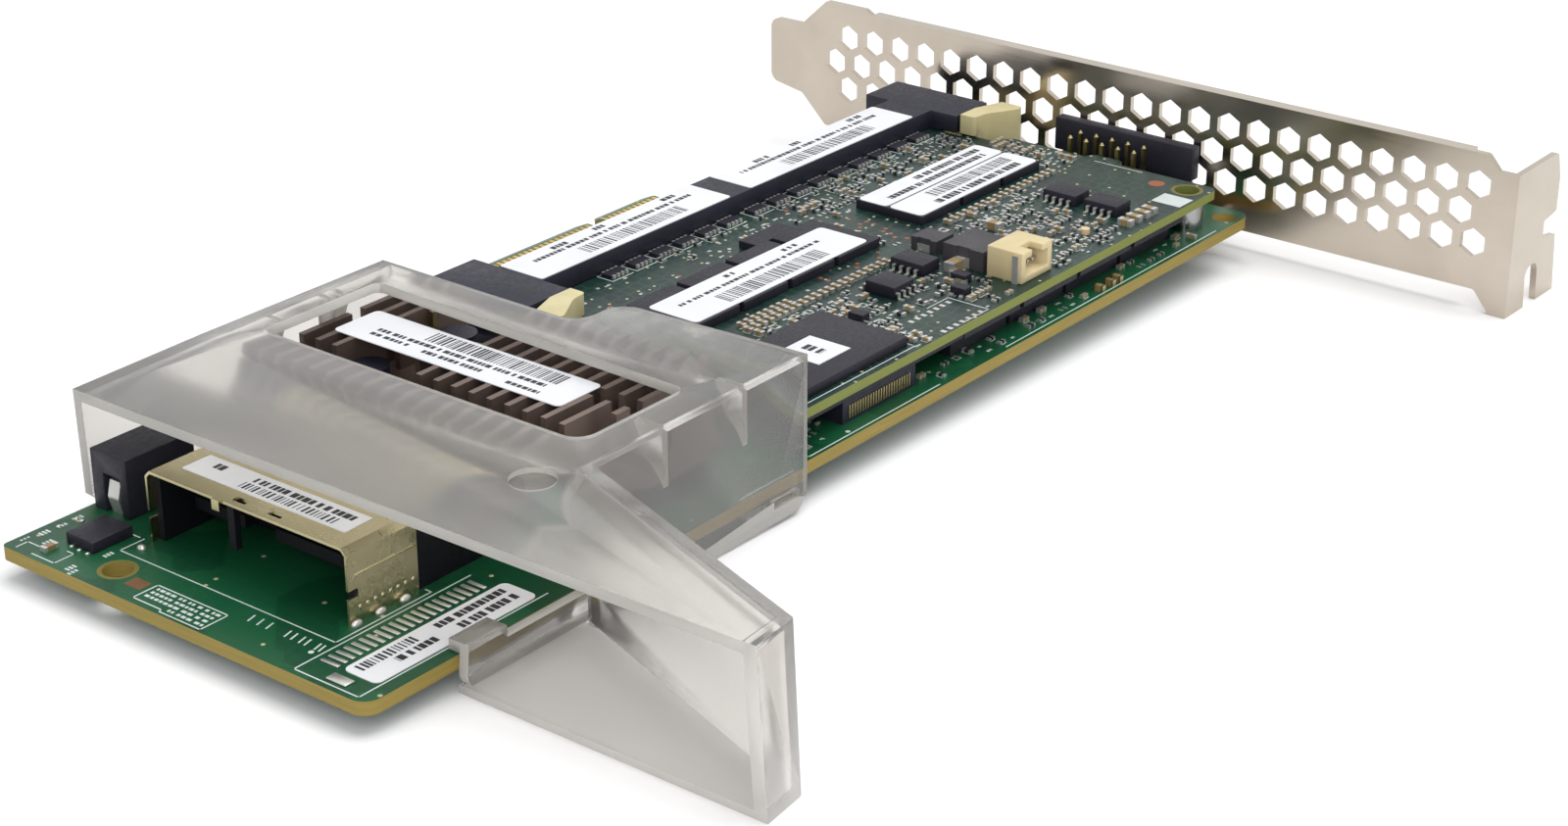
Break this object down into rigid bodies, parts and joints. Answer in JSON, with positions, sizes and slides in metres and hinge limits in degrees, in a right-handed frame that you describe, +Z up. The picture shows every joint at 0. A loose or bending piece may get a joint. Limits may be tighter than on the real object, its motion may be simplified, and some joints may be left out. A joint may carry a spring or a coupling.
{
  "type": "raid controller card",
  "caption": "Raid controller card on a tall perforated bracket, with a cable port, a heatsink under a clear air duct with a side scoop, and a cache module latched flat in a socket.",
  "frame": {"origin": "middle of the bounding box in plan, at the lowest point of the bracket's flange", "axes": "+X from the bracket along the board to its free end, +Y from the edge connector to the outer long edge, +Z up from the component side"},
  "size_m": [0.1818, 0.1224, 0.0223],
  "materials": {
    "bracket_steel": "satin stainless sheet",
    "screw_steel": "bright zinc plate",
    "board_green": "deep green solder mask on glass laminate",
    "gold": "thin gold plate",
    "cage_metal": "warm nickel plate",
    "black_plastic": "fine moulded",
    "chip_black": "matt moulding compound",
    "duct_clear": "smoky translucent moulding",
    "sink_metal": "dark bronze anodised",
    "spring_steel": "bright wire",
    "module_green": "dark green solder mask on glass laminate",
    "latch_cream": "smooth moulded",
    "socket_cream": "smooth moulded",
    "coil_grey": "pressed iron powder",
    "tin": "tinned",
    "label_white": "printed film with plain bars"
  },
  "bodies": {
    "card": {"bracket": "bracket_steel", "bracket_screws": "screw_steel", "main_board": "board_green", "edge_contacts": "gold", "port_cage": "cage_metal", "port_housing": "black_plastic", "port_contacts": "gold", "side_connector": "black_plastic", "side_contact": "tin", "end_chip": "chip_black", "air_duct": "duct_clear", "heatsink": "sink_metal", "controller_chip": "chip_black", "push_pins": "black_plastic", "pin_springs": "spring_steel", "post_pin": "gold", "module_board": "module_green", "module_standoff": "tin", "memory_chips": "chip_black", "module_processor": "chip_black", "small_chips": "chip_black", "coils": "coil_grey", "cable_socket": "socket_cream", "cable_socket_pins": "tin", "socket_housing": "black_plastic", "socket_leads": "tin", "latch_pins": "screw_steel", "header_base": "black_plastic", "header_pins": "gold", "joiner_socket": "black_plastic", "joiner_plug": "black_plastic", "heatsink_label": "label_white", "port_label": "label_white", "board_label": "label_white", "socket_labels": "label_white", "module_labels": "label_white", "processor_sticker": "label_white"},
    "latch_far": {"latch_far": "latch_cream"},
    "latch_near": {"latch_near": "latch_cream"}
  },
  "joints": [
    {"name": "latch_far_turn", "type": "hinge", "parent": "card", "child": "latch_far", "pos_m": [-0.06813, -0.02574, 0.01115], "axis": [0, 0, 1], "range_deg": [0, 16]},
    {"name": "latch_near_turn", "type": "hinge", "parent": "card", "child": "latch_near", "pos_m": [0.01968, -0.02574, 0.01115], "axis": [0, 0, -1], "range_deg": [0, 16]}
  ]
}
